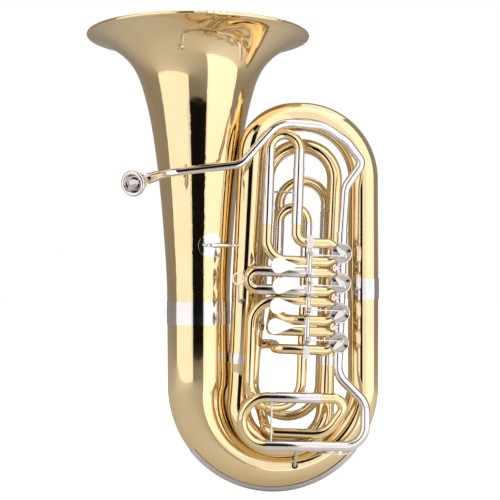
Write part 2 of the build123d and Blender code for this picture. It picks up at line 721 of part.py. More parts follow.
# ---------------------------------------------------------------- levers and linkage
half_swing = degrees(asin(crank_r * sin(radians(45)) / lever_arm))
bracket_h = (valve_heights[0] + 8.5, valve_heights[0] + 32.5)
# Heights along the hinge rod in units of the valve spacing: barrels, springs and touch plates
barrels = [(0.786, 1.509), (0.116, 0.653), (-0.554, -0.018), (-1.530, -0.688)]
springs = [(0.661, 0.777), (-0.009, 0.107), (-0.679, -0.563), (-1.642, -1.539)]
paddle_heights = [1.032, 0.365, -0.305, -0.974]
paddle_lengths = [69.0, 65.0, 69.0, 72.0]
eye_half = 1.5

with BuildPart() as hinge_rod:
    straight_tube(at_valve(hinge_a, hinge_d, -bracket_h[1] + 4), at_valve(hinge_a, hinge_d, bracket_h[1] - 4),
                  hinge_rod_r)
save("hinge_rod", hinge_rod)

with BuildPart() as lever_brackets:
    for side in (1, -1):
        tube_h = side * (valve_heights[0] + port_offset)
        with BuildSketch(valve_face(hinge_a, hinge_d - 5.5, side * sum(bracket_h) / 2)) as block:
            RectangleRounded(12.6, bracket_h[1] - bracket_h[0], 2.0)
        extrude(block.sketch, amount=-19.0)
        cut_rod(at_valve(hinge_a - 20, 0, tube_h), at_valve(hinge_a + 20, 0, tube_h), tube_r)
        cut_rod(at_valve(hinge_a, hinge_d, -bracket_h[1] + 4), at_valve(hinge_a, hinge_d, bracket_h[1] - 4),
                hinge_rod_r)
        screw_h = side * (sum(bracket_h) / 2 + 2.0)
        straight_tube(at_valve(hinge_a, hinge_d - 5.5, screw_h), at_valve(hinge_a, hinge_d - 7.3, screw_h), 3.0)
        cut_rod(at_valve(hinge_a, hinge_d - 6.6, screw_h), at_valve(hinge_a, hinge_d - 8.0, screw_h), 1.2)
save("lever_brackets", lever_brackets)

with BuildPart() as lever_springs:
    for low, high in springs:
        straight_tube(at_valve(hinge_a, hinge_d, low * valve_spacing),
                      at_valve(hinge_a, hinge_d, high * valve_spacing), 4.2, 3.0)
save("lever_springs", lever_springs)

for i in range(4):
    number = i + 1
    swing = swing_side[i]
    eye_h = valve_heights[i] - swing * crank_r * sin(radians(45))
    rest = radians(half_swing)
    tip_a = lever_arm * sin(rest)
    tip_d = -lever_arm * cos(rest)
    plate_low = eye_h + swing * (eye_half + 1.7)
    paddle_out = radians(paddle_rest_angle)
    along = valve_right * -cos(paddle_out) + Vector(0, -sin(paddle_out), 0)
    normal = along.cross(valve_up)
    paddle_h = paddle_heights[i] * valve_spacing
    barrel_low = barrels[i][0] * valve_spacing
    barrel_high = barrels[i][1] * valve_spacing
    paddle_plane = Plane(at_valve(hinge_a, hinge_d, paddle_h) + normal * (-paddle_thickness / 2),
                         x_dir=along, z_dir=normal)
    with BuildPart() as lever:
        with BuildSketch(paddle_plane) as paddle:
            with BuildSketch(Plane.XY, mode=Mode.PRIVATE) as ends:
                with Locations((paddle_lengths[i], 0)):
                    Circle(paddle_r)
                with Locations((paddle_lengths[i] - paddle_taper, 0)):
                    Circle(paddle_neck_r)
            add(make_hull(ends.sketch.edges(), mode=Mode.PRIVATE))
            with Locations(((paddle_lengths[i] - paddle_taper) / 2, 0)):
                Rectangle(paddle_lengths[i] - paddle_taper, 2 * paddle_neck_r)
        extrude(paddle.sketch, amount=paddle_thickness)
        fillet(lever.faces().sort_by(Axis(lever.part.center(), normal))[-1].edges(), 0.9)
        straight_tube(at_valve(hinge_a, hinge_d, barrel_low), at_valve(hinge_a, hinge_d, barrel_high),
                      lever_barrel_r)
        for collar_h in (barrel_low, barrel_high - 3.0):
            straight_tube(at_valve(hinge_a, hinge_d, collar_h), at_valve(hinge_a, hinge_d, collar_h + 3.0),
                          lever_barrel_r + 0.9)
        with BuildSketch(valve_level(hinge_a, hinge_d, min(plate_low, plate_low + swing * 3.0))) as arm:
            with BuildSketch(Plane.XY, mode=Mode.PRIVATE) as ends:
                Circle(lever_barrel_r)
                with Locations((tip_a, tip_d)):
                    Circle(2.8)
            add(make_hull(ends.sketch.edges(), mode=Mode.PRIVATE))
        extrude(arm.sketch, amount=3.0)
        stud_foot = plate_low + swing * 0.5
        stud_head = eye_h - swing * (eye_half + 3.9)
        straight_tube(at_valve(hinge_a + tip_a, hinge_d + tip_d, stud_foot),
                      at_valve(hinge_a + tip_a, hinge_d + tip_d, stud_head), stud_r)
        straight_tube(at_valve(hinge_a + tip_a, hinge_d + tip_d, stud_head),
                      at_valve(hinge_a + tip_a, hinge_d + tip_d, stud_head - swing * 1.6), stud_r + 1.3)
        cut_rod(at_valve(hinge_a, hinge_d, -200), at_valve(hinge_a, hinge_d, 200),
                hinge_rod_r + pivot_clearance)
    save(f"lever_{number}", lever)

    pin_a = crank_r * cos(radians(45))
    eye_a = hinge_a + tip_a
    eye_d = hinge_d + tip_d
    with BuildPart() as link_rod:
        straight_tube(at_valve(pin_a, link_depth + eye_half, eye_h),
                      at_valve(pin_a, link_depth - eye_half, eye_h), 3.4)
        straight_tube(at_valve(pin_a - 2.4, link_depth, eye_h), at_valve(eye_a + 6.0, link_depth, eye_h),
                      link_rod_r)
        straight_tube(at_valve(eye_a + 8.5, link_depth, eye_h), at_valve(eye_a + 16.0, link_depth, eye_h), 2.0)
        straight_tube(at_valve(eye_a + 6.2, link_depth, eye_h), at_valve(eye_a + 3.0, link_depth, eye_h), 1.4)
        straight_tube(at_valve(eye_a, eye_d, eye_h - eye_half), at_valve(eye_a, eye_d, eye_h + eye_half), 3.8)
        cut_rod(at_valve(eye_a, eye_d, eye_h - 5), at_valve(eye_a, eye_d, eye_h + 5), stud_eye_r)
        cut_rod(at_valve(pin_a, link_depth + 5, eye_h), at_valve(pin_a, link_depth - 5, eye_h),
                crank_pin_r + pivot_clearance)
    save(f"link_rod_{number}", link_rod)

# ---------------------------------------------------------------- water key on the outlet tube
key_a = 142.0
key_drop = 13.5
nipple_a = key_a + 18.0
outlet_r = line_r - line_wall - solder_gap
low = -main_half_width
with BuildPart() as water_key_seat:
    straight_tube(at_main(nipple_a, 0, low - outlet_r + 0.3),
                  at_main(nipple_a, 0, low - outlet_r - 2.6), 2.6, 1.4)
    for side in (1, -1):
        with BuildSketch(Plane(at_main(key_a, side * 4.0 + 1.0, low - key_drop), x_dir=main_right,
                               z_dir=(0, -1, 0))) as lug:
            Circle(2.6)
            with Locations((0, 3.0)):
                Rectangle(5.2, 6.0)
        extrude(lug.sketch, amount=2.0)
    cut_rod(at_main(key_a - 5, 0, low), at_main(key_a + 5, 0, low), outlet_r)
    straight_tube(at_main(key_a, -5.5, low - key_drop), at_main(key_a, 5.5, low - key_drop), 1.0)
save("water_key_seat", water_key_seat)

with BuildPart() as water_key:
    straight_tube(at_main(key_a, -2.8, low - key_drop), at_main(key_a, 2.8, low - key_drop), 2.4)
    with BuildSketch(Plane(at_main(key_a, 0, low - key_drop - 0.8), x_dir=main_right,
                           z_dir=(main_right.cross(Vector(0, 1, 0))))) as blade:
        with BuildLine() as outline:
            Polyline((-34, -2.6), (-12, -1.8), (18, -1.8), (18, 1.8), (-12, 1.8), (-34, 2.6))
            ThreePointArc((-34, 2.6), (-36.6, 0), (-34, -2.6))
        make_face()
    extrude(blade.sketch, amount=0.8, both=True)
    straight_tube(at_main(nipple_a, 0, low - key_drop), at_main(nipple_a, 0, low - outlet_r - 2.7), 4.2)
    cut_rod(at_main(key_a, -9, low - key_drop), at_main(key_a, 9, low - key_drop), 1.0 + pivot_clearance)
save("water_key", water_key)

# ---------------------------------------------------------------- thumb ring
def branch_surface(z, way, gap):
    """A point just off the first branch's left leg at a height, out along a level direction."""
    axis_point = first_branch_foot + first_leg * ((z - first_branch_foot.Z) / first_leg.Z)
    leg_r = first_branch_end_r + (z - first_branch_foot.Z) * branch_taper
    return axis_point + Vector(way).normalized() * (leg_r + gap)


branch_taper = 0.0048
ring_centre = Vector(-68.0, -84.5, 427.0)
ring_facing = Vector(-0.35, -0.94, 0).normalized()
ring_bore_r = 9.3
ring_stem_r = 2.2
ring_foot_way = Vector(-0.15, -0.99, 0).normalized()
ring_foot_z = 382.0
with BuildPart() as thumb_ring:
    with BuildSketch(Plane(ring_centre, x_dir=ring_facing, z_dir=(0, 0, 1))) as section:
        with Locations((0, ring_bore_r + 1.6)):
            RectangleRounded(3.6, 3.2, 0.7)
    revolve(axis=Axis(ring_centre, ring_facing))
    with BuildLine() as stem:
        FilletPolyline(ring_centre - Vector(0, 0, 11.0), ring_centre - Vector(0, 0, 45.0),
                       branch_surface(ring_foot_z, ring_foot_way, 1.0), radius=9.0)
    with BuildSketch(Plane(ring_centre - Vector(0, 0, 11.0), z_dir=(0, 0, -1))) as stem_section:
        Circle(ring_stem_r)
    sweep(sections=stem_section.sketch, path=stem.line)
    straight_tube(branch_surface(ring_foot_z, ring_foot_way, 0.4),
                  branch_surface(ring_foot_z, ring_foot_way, 2.0), 5.0)
save("thumb_ring", thumb_ring)

# ---------------------------------------------------------------- braces
bell_brace_z = 491.0
brace_start = Vector(-135.0, -76.0, bell_brace_z)
brace_end = branch_surface(bell_brace_z, (-0.917, -0.399, 0), 0.4)
brace_way = (brace_end - brace_start).normalized()
brace_plane = Plane(brace_start, x_dir=brace_way, z_dir=(0, 0, 1))
brace_length = (brace_end - brace_start).length
flange_way = Vector(0.39, -0.92, 0).normalized()
flange_centre = Vector(bell_axis_x, 0, bell_brace_z)
brace_bell_r = 67.6
bow_foot_angle = 12.0
bow_foot_centre, bow_foot_run, bow_foot_r = bow_point(0.585)
bow_inward = (Vector(0, 0, bow_centre_z) - bow_foot_centre).normalized()
bow_foot_way = Vector(0, -cos(radians(bow_foot_angle)), 0) + bow_inward * sin(radians(bow_foot_angle))
bow_foot = bow_foot_centre + bow_foot_way * bow_foot_r
with BuildPart() as braces:
    with BuildSketch(brace_plane) as baluster:
        with BuildLine() as outline:
            Line((0, 0), (0, 1.6))
            Spline((0, 1.6), (3.5, 3.6), (7.5, 2.2), (16.0, 4.0), (brace_length * 0.5, 4.6),
                   (brace_length - 14.0, 3.2), (brace_length - 6.0, 2.4), (brace_length, 3.8))
            Line((brace_length, 3.8), (brace_length, 0))
            Line((brace_length, 0), (0, 0))
        make_face()
    revolve(axis=Axis(brace_start, brace_way))
    straight_tube(flange_centre + flange_way * (brace_bell_r + 1.0), flange_centre + flange_way * 75.5, 3.0)
    # A thin round patch that lies on the bell
    with BuildSketch(Plane(flange_centre + flange_way * 50.0, z_dir=flange_way)) as patch:
        Circle(24.0)
    bell_shell = extrude(patch.sketch, amount=30.0, mode=Mode.PRIVATE)
    shell_out = Cone(brace_bell_r - 2.2 + 1.6, brace_bell_r + 2.2 + 1.6, 60.0, mode=Mode.PRIVATE)
    shell_in = Cone(brace_bell_r - 2.6 + 0.4, brace_bell_r + 2.6 + 0.4, 70.0, mode=Mode.PRIVATE)
    shell = Pos(bell_axis_x, 0, bell_brace_z) * (shell_out - shell_in)
    add(bell_shell & shell)
    # From the main slide's lower sleeve down to the large bow
    straight_tube(at_main(60.0, -4.0, -main_half_width - 7.0), bow_foot + bow_foot_way * 1.8, 2.6)
    straight_tube(bow_foot + bow_foot_way * 0.5, bow_foot + bow_foot_way * 2.4, 6.0)
    cut_rod(at_main(0, 0, -main_half_width), at_main(120, 0, -main_half_width), sleeve_r + solder_gap)
save("braces", braces)
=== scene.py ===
# %% [markdown]
# # A rotary tuba, dressed in brass and nickel silver
# The CAD frame holds every tube, slide, valve and lever in its place, in metres. This lesson gives
# those parts their finish, adds the small turned and wound pieces that a CAD model leaves plain,
# and lights the result the way polished brass needs to be lit.

# %% Load the frame
import json
import math
import bpy
import bmesh
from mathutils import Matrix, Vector


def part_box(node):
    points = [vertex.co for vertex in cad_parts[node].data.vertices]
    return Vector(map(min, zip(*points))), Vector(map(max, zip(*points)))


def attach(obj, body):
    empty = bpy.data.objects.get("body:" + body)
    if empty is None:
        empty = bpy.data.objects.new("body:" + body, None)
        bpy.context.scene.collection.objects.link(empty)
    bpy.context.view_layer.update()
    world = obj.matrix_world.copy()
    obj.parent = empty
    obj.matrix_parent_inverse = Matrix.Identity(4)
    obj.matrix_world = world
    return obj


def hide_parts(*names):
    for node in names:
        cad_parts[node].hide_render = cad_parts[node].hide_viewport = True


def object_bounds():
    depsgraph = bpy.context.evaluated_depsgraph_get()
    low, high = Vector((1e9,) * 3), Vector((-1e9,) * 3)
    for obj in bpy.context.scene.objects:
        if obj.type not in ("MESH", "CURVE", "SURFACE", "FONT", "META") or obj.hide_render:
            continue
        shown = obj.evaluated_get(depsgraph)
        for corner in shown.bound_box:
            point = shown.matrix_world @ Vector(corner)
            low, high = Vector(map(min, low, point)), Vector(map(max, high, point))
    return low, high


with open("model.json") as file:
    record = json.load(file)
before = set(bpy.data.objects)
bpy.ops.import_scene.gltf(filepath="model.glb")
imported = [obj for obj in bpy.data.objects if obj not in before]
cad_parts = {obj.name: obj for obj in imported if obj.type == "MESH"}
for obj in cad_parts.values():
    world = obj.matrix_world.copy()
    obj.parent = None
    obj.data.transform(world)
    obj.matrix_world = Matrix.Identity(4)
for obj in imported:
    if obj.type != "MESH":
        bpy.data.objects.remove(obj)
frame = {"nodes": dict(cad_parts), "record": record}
cad_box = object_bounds()
bodies = frame["record"]["behaviour"]["bodies"]
body_of = {node: body for body, nodes in bodies.items() for node in nodes}
print("nodes:", len(body_of), "bodies:", len(bodies))

# %% [markdown]
# ## Small helpers
# Colours are picked as sRGB hex values, the way a paint chart gives them, but Cycles mixes light in
# linear values, so one function converts them. Every material is a chain of nodes, so one function
# adds a node with its settings and its links.

# %% Colour and node helpers
MM = 0.001


def linear(hex_colour):
    """An sRGB hex colour as linear RGBA."""
    parts = [int(hex_colour[i:i + 2], 16) / 255 for i in (1, 3, 5)]
    return [c / 12.92 if c <= 0.04045 else ((c + 0.055) / 1.055) ** 2.4 for c in parts] + [1.0]


def add_node(tree, kind, links=(), **settings):
    """Adds a node. Settings that name an input set its value; the others set the node's own fields."""
    node = tree.nodes.new(kind)
    for name, value in settings.items():
        if hasattr(node, name):
            setattr(node, name, value)
        else:
            node.inputs[name.replace("_", " ")].default_value = value
    for source, target in links:
        tree.links.new(source, node.inputs[target])
    return node


# %% [markdown]
# ## Metals
# A brass instrument is buffed until it mirrors the room, then dipped in a clear lacquer. Up close
# the mirror isn't perfect: buffing leaves a very shallow ripple, the lacquer pools a little, and
# hands leave faint dull patches. So each metal here is a mirror with three quiet layers on top: a
# slow colour drift, a patchy roughness, and a ripple in the bump that is millimetres wide and
# hundredths of a millimetre deep. A real metal's tint comes from its base colour, and its IOR stays
# at the default.

# %% A polished metal with a drift of colour, patchy gloss and a shallow ripple
DRIFT_MM = 60.0
PATCH_MM = 18.0


def polished_metal(name, light, dark, gloss, haze, ripple_mm, ripple_depth_mm):
    """A mirror metal: gloss and haze are its roughness where it is cleanest and where it is dullest."""
    material = bpy.data.materials.new(name)
    material.use_nodes = True
    tree = material.node_tree
    shader = tree.nodes["Principled BSDF"]
    shader.inputs["Metallic"].default_value = 1.0
    place = add_node(tree, "ShaderNodeTexCoord").outputs["Object"]
    drift = add_node(tree, "ShaderNodeTexNoise", [(place, "Vector")], Scale=1 / (DRIFT_MM * MM),
                     Detail=3.0)
    tint = add_node(tree, "ShaderNodeMix", [(drift.outputs["Fac"], 0)], data_type="RGBA")
    tint.inputs[6].default_value = linear(light)
    tint.inputs[7].default_value = linear(dark)
    tree.links.new(tint.outputs[2], shader.inputs["Base Color"])
    patches = add_node(tree, "ShaderNodeTexNoise", [(place, "Vector")],
                       Scale=1 / (PATCH_MM * MM), Detail=5.0, Roughness=0.62)
    dull = add_node(tree, "ShaderNodeMapRange", [(patches.outputs["Fac"], "Value")],
                    From_Min=0.35, From_Max=0.75, To_Min=gloss, To_Max=haze)
    tree.links.new(dull.outputs["Result"], shader.inputs["Roughness"])
    ripple = add_node(tree, "ShaderNodeTexNoise", [(place, "Vector")], Scale=1 / (ripple_mm * MM),
                      Detail=1.0)
    bump = add_node(tree, "ShaderNodeBump", [(ripple.outputs["Fac"], "Height")],
                    Distance=ripple_depth_mm * MM, Strength=1.0)
    tree.links.new(bump.outputs["Normal"], shader.inputs["Normal"])
    return material


# %% [markdown]
# Yellow brass is about 70 parts copper to 30 of zinc. One bounce of light off it is pale gold, and
# the deep gold between the tubes comes from light that bounces four or five times, so the base
# colour stays pale. Nickel silver is brass with a tenth or more of nickel, which takes the yellow
# out and leaves a warm grey white. Rotors are turned and left bare, so they're duller.

# %% Make the metals
lacquered_brass = polished_metal("yellow_brass_buffed_and_lacquered", "#F5E0B8", "#EDD3A0", 0.05, 0.09,
                                 22.0, 0.02)
lacquer = lacquered_brass.node_tree.nodes["Principled BSDF"].inputs
lacquer["Coat Weight"].default_value = 0.25
lacquer["Coat Roughness"].default_value = 0.04
nickel_silver = polished_metal("nickel_silver_buffed", "#F2EEEC", "#E2DCDE", 0.06, 0.13, 16.0, 0.015)
turned_brass = polished_metal("brass_turned_and_bare", "#D9B26A", "#B98D4A", 0.22, 0.38, 3.0, 0.01)
faced_nickel = polished_metal("nickel_silver_faced_on_a_lathe", "#CFC8C0", "#A8A097", 0.24, 0.36,
                              2.5, 0.01)
spring_wire = polished_metal("spring_steel_drawn", "#B9BABD", "#9C9DA1", 0.20, 0.34, 2.0, 0.01)


# %% [markdown]
# ## Neoprene bumpers
# The stops that catch each valve's arm are short cylinders of black neoprene cut from sheet, so the
# surface is matt with a fine grain. Rubber isn't a metal: it keeps a low, even gloss.

# %% Make the neoprene
GRAIN_MM = 0.8


def neoprene_rubber():
    material = bpy.data.materials.new("neoprene_cut_from_sheet")
    material.use_nodes = True
    tree = material.node_tree
    shader = tree.nodes["Principled BSDF"]
    shader.inputs["Roughness"].default_value = 0.72
    place = add_node(tree, "ShaderNodeTexCoord").outputs["Object"]
    grain = add_node(tree, "ShaderNodeTexNoise", [(place, "Vector")], Scale=1 / (GRAIN_MM * MM),
                     Detail=4.0)
    shade = add_node(tree, "ShaderNodeMix", [(grain.outputs["Fac"], 0)], data_type="RGBA")
    shade.inputs[6].default_value = linear("#1E1C1B")
    shade.inputs[7].default_value = linear("#35312F")
    tree.links.new(shade.outputs[2], shader.inputs["Base Color"])
    bump = add_node(tree, "ShaderNodeBump", [(grain.outputs["Fac"], "Height")],
                    Distance=0.08 * MM, Strength=0.8)
    tree.links.new(bump.outputs["Normal"], shader.inputs["Normal"])
    return material


neoprene = neoprene_rubber()
finish_of_slot = {
    "lacquered_brass": lacquered_brass,
    "nickel_silver": nickel_silver,
    "bare_brass": turned_brass,
    "spring_steel": spring_wire,
    "cork": neoprene,
}
slot_of = {part["node"]: part["material_slot"] for part in frame["record"]["subparts"]}
print("materials:", [m.name for m in bpy.data.materials if m.users])

# %% [markdown]
# ## Smooth skins
# A CAD mesh arrives as loose triangles, so light would break at every edge of a mirror-bright tube.
# Each node is copied, its shared corners are merged, and its faces are shaded smooth except where
# two of them meet at a sharp angle, such as a tube's cut end. The copy then stands for the node.

# %% Copy, merge and smooth each CAD node
SHARP = math.radians(32)
WELD = 0.002 * MM


def smooth_skin(node):
    mesh = frame["nodes"][node].data.copy()
    mesh.name = node + "_skin"
    shell = bmesh.new()
    shell.from_mesh(mesh)
    bmesh.ops.remove_doubles(shell, verts=shell.verts, dist=WELD)
    shell.to_mesh(mesh)
    shell.free()
    mesh.materials.clear()
    mesh.materials.append(finish_of_slot[slot_of[node]])
    mesh.polygons.foreach_set("use_smooth", [True] * len(mesh.polygons))
    if "custom_normal" in mesh.attributes:
        mesh.attributes.remove(mesh.attributes["custom_normal"])
    mesh.set_sharp_from_angle(angle=SHARP)
    piece = bpy.data.objects.new(node + "_skin", mesh)
    bpy.context.scene.collection.objects.link(piece)
    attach(piece, body_of[node])
    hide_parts(node)
    return piece


skins = {node: smooth_skin(node) for node in body_of if node != "lever_springs"}
print("skins:", len(skins), "triangles:", sum(len(p.data.polygons) for p in skins.values()))

# %% [markdown]
# ## Placing pieces from the frame
# Everything below is placed from the CAD boxes. The valves lean with their tubing, so the lean is
# read from the first and last rotor, and one function turns a place in that leaning frame into a
# place in the world: a to the right, d to the back, h up the row.

# %% The valve section's own frame
def centre(node):
    low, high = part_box(node)
    return (Vector(low) + Vector(high)) / 2


def casing_centre(number):
    return centre(f"valve_casing_{number}")


row_up = (casing_centre(1) - casing_centre(4)).normalized()
row_right = Vector((row_up.z, 0, -row_up.x))
row_back = Vector((0, 1, 0))


def in_row(number, a, d, h):
    """A place measured in millimetres from a valve's centre."""
    return casing_centre(number) + (row_right * a + row_back * d + row_up * h) * MM


casing_low, casing_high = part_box("valve_casing_1")
casing_r_mm = (casing_high[0] - casing_low[0]) / 2 / MM
casing_depth_mm = (casing_high[1] - casing_low[1]) / MM
print("lean:", round(math.degrees(math.atan2(row_up.x, row_up.z)), 2), "casing radius:", casing_r_mm)


# %% [markdown]
# ## Turning small parts
# Screws, collars and knobs are all turned on a lathe, so one function spins an outline about an
# axis. The outline is a list of (along, radius) steps in millimetres. Points on the axis become
# one vertex, so the ends are closed.

# %% A lathe
def turned(name, outline, place, direction, body, finish, around=40):
    shape = bmesh.new()
    turn = Vector(direction).normalized().to_track_quat("Z", "Y").to_matrix().to_4x4()
    rings = []
    for along, radius in outline:
        count = around if radius > 0 else 1
        ring = []
        for k in range(count):
            angle = 2 * math.pi * k / around
            point = Vector((radius * math.cos(angle), radius * math.sin(angle), along)) * MM
            ring.append(shape.verts.new(Vector(place) + turn @ point))
        rings.append(ring)
    for one, two in zip(rings, rings[1:]):
        for k in range(around):
            n = (k + 1) % around
            corners = [one[k % len(one)], one[n % len(one)], two[n % len(two)], two[k % len(two)]]
            corners = list(dict.fromkeys(corners))
            if len(corners) > 2:
                shape.faces.new(corners)
    bmesh.ops.recalc_face_normals(shape, faces=shape.faces)
    mesh = bpy.data.meshes.new(name)
    shape.to_mesh(mesh)
    shape.free()
    mesh.materials.append(finish)
    mesh.polygons.foreach_set("use_smooth", [True] * len(mesh.polygons))
    mesh.set_sharp_from_angle(angle=SHARP)
    piece = bpy.data.objects.new(name, mesh)
    bpy.context.scene.collection.objects.link(piece)
    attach(piece, body)
    return piece


# %% [markdown]
# ## Repeating small parts with Geometry Nodes
# Springs, knurls and screws repeat. Each tree below makes one such part standing along Z, and a
# shared ending sets a copy on every vertex of a base mesh, turned so that its Z follows the
# vertex's "facing" attribute. The result is realised, given its metal, and turned into a plain mesh.

# %% Start and end of every tree
def start_tree(name, sizes):
    tree = bpy.data.node_groups.new(name, "GeometryNodeTree")
    tree.interface.new_socket(name="Places", in_out="INPUT", socket_type="NodeSocketGeometry")
    for label, value in sizes.items():
        kind = "NodeSocketInt" if isinstance(value, int) else "NodeSocketFloat"
        tree.interface.new_socket(name=label, in_out="INPUT", socket_type=kind)
    tree.interface.new_socket(name="Material", in_out="INPUT", socket_type="NodeSocketMaterial")
    tree.interface.new_socket(name="Pieces", in_out="OUTPUT", socket_type="NodeSocketGeometry")
    return tree, add_node(tree, "NodeGroupInput").outputs


def end_tree(tree, inputs, part):
    facing = add_node(tree, "GeometryNodeInputNamedAttribute", data_type="FLOAT_VECTOR", Name="facing")
    turn = add_node(tree, "FunctionNodeAlignRotationToVector", [(facing.outputs["Attribute"], "Vector")],
                    axis="Z")
    copies = add_node(tree, "GeometryNodeInstanceOnPoints",
                      [(inputs["Places"], "Points"), (part, "Instance"), (turn.outputs[0], "Rotation")])
    solid = add_node(tree, "GeometryNodeRealizeInstances", [(copies.outputs[0], 0)])
    metal = add_node(tree, "GeometryNodeSetMaterial",
                     [(solid.outputs[0], 0), (inputs["Material"], "Material")])
    add_node(tree, "NodeGroupOutput", [(metal.outputs[0], "Pieces")])


def set_out(name, tree, sizes, places, facings, body, finish):
    """Runs a tree on a set of places and keeps the result as one plain mesh on one body."""
    base = bpy.data.meshes.new(name + "_places")
    base.from_pydata([tuple(p) for p in places], [], [])
    facing = base.attributes.new("facing", "FLOAT_VECTOR", "POINT")
    for k, way in enumerate(facings):
        facing.data[k].vector = way
    maker = bpy.data.objects.new(name + "_maker", base)
    bpy.context.scene.collection.objects.link(maker)
    modifier = maker.modifiers.new(name, "NODES")
    modifier.node_group = tree
    values = {**sizes, "Material": finish}
    for socket in tree.interface.items_tree:
        if socket.in_out == "INPUT" and socket.name in values:
            modifier[socket.identifier] = values[socket.name]
    graph = bpy.context.evaluated_depsgraph_get()
    mesh = bpy.data.meshes.new_from_object(maker.evaluated_get(graph))
    mesh.name = name
    bpy.data.objects.remove(maker)
    mesh.polygons.foreach_set("use_smooth", [True] * len(mesh.polygons))
    mesh.set_sharp_from_angle(angle=SHARP)
    piece = bpy.data.objects.new(name, mesh)
    bpy.context.scene.collection.objects.link(piece)
    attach(piece, body)
    print(name, "copies:", len(places), "triangles:", sum(len(p.vertices) - 2 for p in mesh.polygons))
    return piece


# %% [markdown]
# ## Lever springs
# Each lever is pushed back by a coil spring wound round the hinge rod, just below its barrel. The
# CAD has a plain sleeve there. A Spiral curve with a round profile is a coil with no modelling.

# %% Wind the springs
spring_sizes = {"Coil Radius": 3.6 * MM, "Wire Radius": 0.45 * MM, "Turns": 4.0, "Height": 5.0 * MM}
tree, inputs = start_tree("coil_spring", spring_sizes)
coil = add_node(tree, "GeometryNodeCurveSpiral",
                [(inputs["Turns"], "Rotations"), (inputs["Coil Radius"], "Start Radius"),
                 (inputs["Coil Radius"], "End Radius"), (inputs["Height"], "Height")], Resolution=40)
wire = add_node(tree, "GeometryNodeCurvePrimitiveCircle", [(inputs["Wire Radius"], "Radius")],
                Resolution=10)
wound = add_node(tree, "GeometryNodeCurveToMesh",
                 [(coil.outputs[0], "Curve"), (wire.outputs[0], "Profile Curve")], Fill_Caps=True)
end_tree(tree, inputs, wound.outputs[0])

hinge_middle = centre("hinge_rod")
# The height of each spring's foot above the middle of the rod
spring_feet_mm = [38.4, 0.2, -38.0, -93.0]
spring_places = [hinge_middle + row_up * h * MM for h in spring_feet_mm]
springs = set_out("lever_coil_springs", tree, spring_sizes, spring_places, [row_up] * 4, "instrument",
                  spring_wire)
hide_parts("lever_springs")

# %% [markdown]
# ## Knurled caps
# The screwed caps that close each valve are knurled so that fingers can turn them. A knurl is a
# ring of fine ribs, so the tree sets thin cylinders round a circle and the ring itself is copied
# to each cap.

# %% Knurl the valve caps
knurl_sizes = {"Ring Radius": (casing_r_mm - 0.25) * MM, "Rib Radius": 0.5 * MM, "Rib Length": 3.4 * MM,
               "Ribs": 88}
tree, inputs = start_tree("knurled_ring", knurl_sizes)
ring = add_node(tree, "GeometryNodeMeshCircle",
                [(inputs["Ribs"], "Vertices"), (inputs["Ring Radius"], "Radius")])
rib = add_node(tree, "GeometryNodeMeshCylinder",
               [(inputs["Rib Radius"], "Radius"), (inputs["Rib Length"], "Depth")], Vertices=6)
ribs = add_node(tree, "GeometryNodeInstanceOnPoints",
                [(ring.outputs[0], "Points"), (rib.outputs[0], "Instance")])
end_tree(tree, inputs, ribs.outputs[0])

front_edge_mm = -casing_depth_mm / 2 - 2.6
back_edge_mm = casing_depth_mm / 2 + 3.0
cap_places = [in_row(n, 0, d, 0) for n in (1, 2, 3, 4) for d in (front_edge_mm, back_edge_mm)]
set_out("knurled_cap_rims", tree, knurl_sizes, cap_places, [row_back] * 8, "instrument", nickel_silver)

# %% [markdown]
# ## Cap rims and stop plates
# Each front cap is a shallow cup: its rim is turned with a rounded edge, and the stop plate that
# carries the bumpers sits inside it. The rim catches the light as a bright ring, and the plate is
# faced on a lathe and left unbuffed, so it reads darker. Thin bands mark the ends of each casing.

# %% Outlines of the rim, the plate face and the band
cap_thickness_mm = 5.0
cap_front = -casing_depth_mm / 2 - cap_thickness_mm
rim_outline = [(0, 16.5), (3.4, 16.6), (4.3, 17.1), (4.7, 17.9), (4.4, 18.9), (3.6, 19.5),
               (0, casing_r_mm + 0.1), (0, 16.5)]
plate_outline = [(1.45, 4.1), (1.45, 16.3), (1.62, 16.3), (1.62, 4.1), (1.45, 4.1)]
inside_r, step_r, crest_r = casing_r_mm - 0.3, casing_r_mm + 0.25, casing_r_mm + 0.5
band_outline = [(0, inside_r), (0, step_r), (0.4, crest_r), (1.4, crest_r), (1.8, step_r), (1.8, inside_r),
                (0, inside_r)]

# %% Turn them for each valve
band_from_front_mm = 3.0
band_from_back_mm = 4.8
for n in (1, 2, 3, 4):
    cap_place = in_row(n, 0, cap_front, 0)
    turned(f"valve_cap_rim_{n}", rim_outline, cap_place, -row_back, "instrument", nickel_silver,
           around=72)
    turned(f"stop_plate_face_{n}", plate_outline, cap_place, -row_back, "instrument", faced_nickel,
           around=56)
    for side, d in (("front", -casing_depth_mm / 2 + band_from_front_mm),
                    ("back", casing_depth_mm / 2 - band_from_back_mm)):
        turned(f"casing_band_{side}_{n}", band_outline, in_row(n, 0, d, 0), row_back, "instrument",
               nickel_silver, around=72)
print("rim front edge, mm from the valve's middle:", cap_front - 4.7)

# %% [markdown]
# ## The lever column
# The four levers turn on one steel rod held between two brackets. Each lever is brazed to a turned
# sleeve with fine grooves near its ends and at its middle, and a knob closes each end of the rod.
# The grooves are part of the outline that the lathe spins, so they're real shape, not shading.

